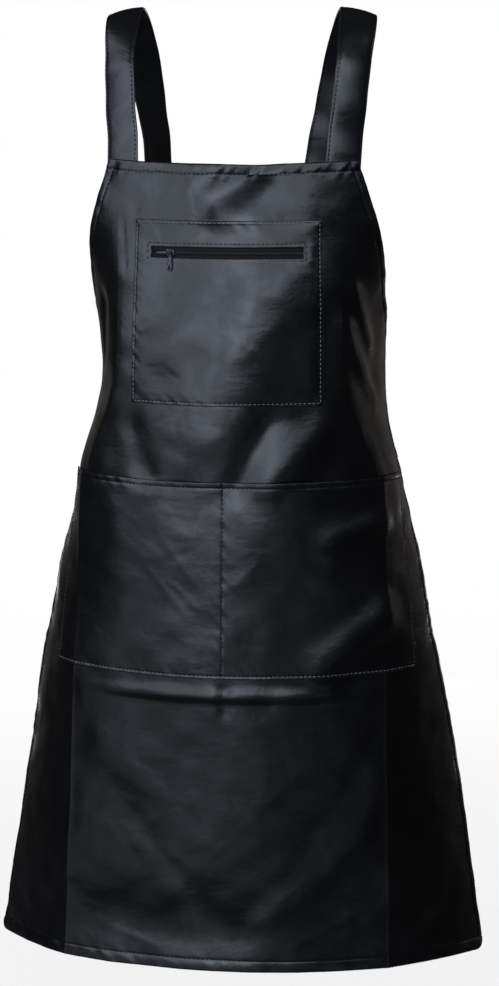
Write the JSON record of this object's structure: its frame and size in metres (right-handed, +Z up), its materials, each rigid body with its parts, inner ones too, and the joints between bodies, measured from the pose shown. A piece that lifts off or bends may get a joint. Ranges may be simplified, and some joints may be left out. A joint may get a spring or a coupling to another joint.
{
  "type": "bib apron",
  "caption": "Black PVC bib apron as worn, with a zipped chest pocket, a wide divided hip pocket, shoulder straps and a plain back belt.",
  "frame": {"origin": "top of the wearer's shoulders, midway between the straps, where the straps bear", "axes": "+Z up, front towards -Y, +X to the right as seen from the front"},
  "size_m": [0.505, 0.2586, 0.9543],
  "materials": {
    "pvc": "black PVC coating, semi-gloss, fine grain",
    "strap_pvc": "black PVC strap, folded double and stitched",
    "zip_cloth": "black woven zip tape",
    "enamel": "black enamelled metal"
  },
  "bodies": {
    "apron": {"front_sheet": "pvc", "chest_pocket": "pvc", "hip_pocket": "pvc", "zip_tape_upper": "zip_cloth", "zip_tape_lower": "zip_cloth", "zip_slider": "enamel", "strap_right": "strap_pvc", "strap_left": "strap_pvc", "back_belt": "strap_pvc"},
    "puller": {"zip_puller": "enamel"}
  },
  "joints": [
    {"name": "puller_swing", "type": "hinge", "parent": "apron", "child": "puller", "pos_m": [-0.05484, -0.10836, -0.2332], "axis": [-0.9717, 0.2364, 0], "range_deg": [0, 165]}
  ]
}
